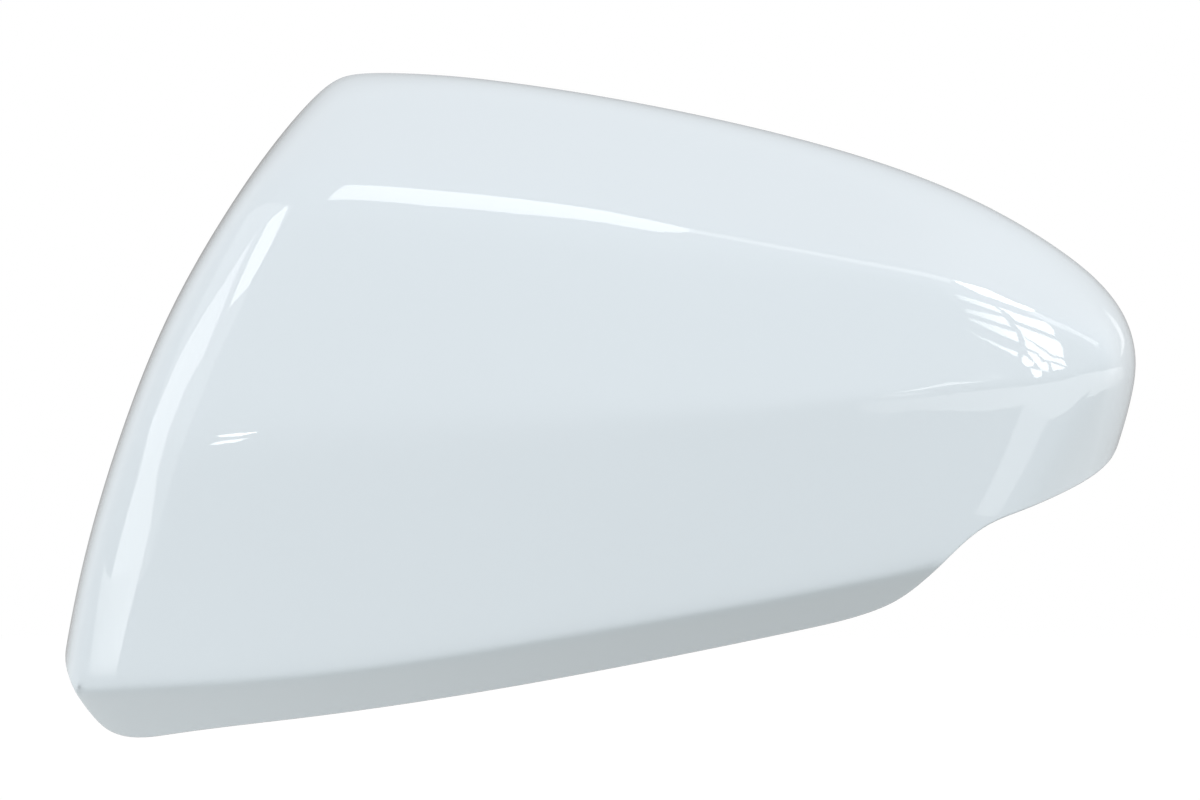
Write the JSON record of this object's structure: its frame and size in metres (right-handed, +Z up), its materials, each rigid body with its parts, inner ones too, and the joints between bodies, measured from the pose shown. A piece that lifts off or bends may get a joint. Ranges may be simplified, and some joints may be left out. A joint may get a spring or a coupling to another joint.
{
  "type": "wing mirror cover",
  "caption": "Painted outer cover of a car's wing mirror: a hollow moulded cap with a creased front, a bevelled lower edge and sprung hooks inside.",
  "frame": {"origin": "the shoulder of the main locating peg, on the peg's axis, inside the cover", "axes": "+X inboard, along the cover's length; +Y to the rear, out of the open side; +Z up"},
  "size_m": [0.2392, 0.063, 0.1476],
  "materials": {
    "body_paint": "gloss white paint on moulded plastic"
  },
  "bodies": {
    "root": {"mirror_cover": "body_paint"}
  },
  "joints": []
}
